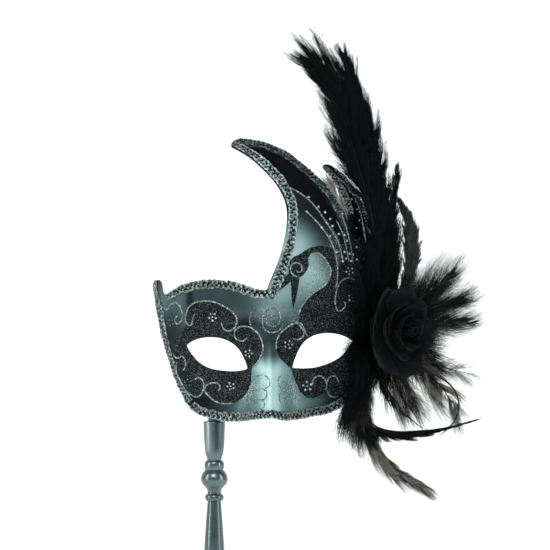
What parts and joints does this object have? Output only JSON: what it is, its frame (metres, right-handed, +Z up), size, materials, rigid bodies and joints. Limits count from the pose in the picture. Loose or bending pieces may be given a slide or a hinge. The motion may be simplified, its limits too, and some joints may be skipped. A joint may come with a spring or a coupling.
{
  "type": "masquerade mask",
  "caption": "Venetian half mask with a tall two-pointed crest, glitter scrollwork, braided edges, a cloth rose and black feathers, on a turned hand stick.",
  "frame": {"origin": "centre of the flat lower end of the hand stick, on the stick axis", "axes": "+Z up along the stick, +X to the right of someone looking at the mask, -Y the way the mask faces"},
  "size_m": [0.2323, 0.0713, 0.4523],
  "materials": {
    "shell_paint": "metallic silver-teal paint shaded to black at the crest and edges, glitter-glue scrollwork",
    "lining_felt": "thin black felt",
    "gimp_braid": "two-row looped metallic gimp, silver and black",
    "stick_paint": "turned wood in gunmetal lacquer",
    "hot_melt": "set hot-melt glue",
    "black_felt": "black felt",
    "rose_cloth": "stiffened black polyester cloth",
    "ostrich_black": "dyed black ostrich and hackle feather",
    "marabou_black": "dyed black marabou down, grey and see-through at its edge",
    "marabou_tan": "undyed tan-grey down",
    "stripped_quill": "trimmed black feather on its quill"
  },
  "bodies": {
    "root": {"biot_arc_inner": "stripped_quill", "biot_arc_outer": "stripped_quill", "braid_brow": "gimp_braid", "braid_crest_back": "gimp_braid", "braid_crest_front": "gimp_braid", "braid_far_side": "gimp_braid", "braid_lower": "gimp_braid", "braid_small_crest_back": "gimp_braid", "braid_small_crest_front": "gimp_braid", "braid_temple": "gimp_braid", "feather_long_curl": "stripped_quill", "felt_lining": "lining_felt", "fluff_broad_low": "marabou_black", "fluff_centre_low": "marabou_black", "fluff_long_side": "marabou_black", "glue_bed": "hot_melt", "hackle_behind_crest": "marabou_tan", "hackle_brow_side": "ostrich_black", "hackle_cheek_front": "ostrich_black", "hackle_fan_lower": "ostrich_black", "hackle_fan_middle": "ostrich_black", "hackle_fan_upper": "ostrich_black", "hackle_tuft_side": "ostrich_black", "hand_stick": "stick_paint", "leaf_upper": "rose_cloth", "mask_shell": "shell_paint", "plume_droop_front": "ostrich_black", "plume_droop_tail": "ostrich_black", "plume_short_upper": "ostrich_black", "plume_side_slim": "ostrich_black", "plume_tall_front": "ostrich_black", "plume_tall_left": "ostrich_black", "plume_tall_right": "ostrich_black", "rose_bud": "rose_cloth", "rose_disc": "rose_cloth", "rose_inner_petals": "rose_cloth", "rose_middle_petals": "rose_cloth", "rose_outer_petals": "rose_cloth", "spray_glue": "hot_melt", "spray_pad": "black_felt", "stick_patch": "black_felt"}
  },
  "joints": []
}
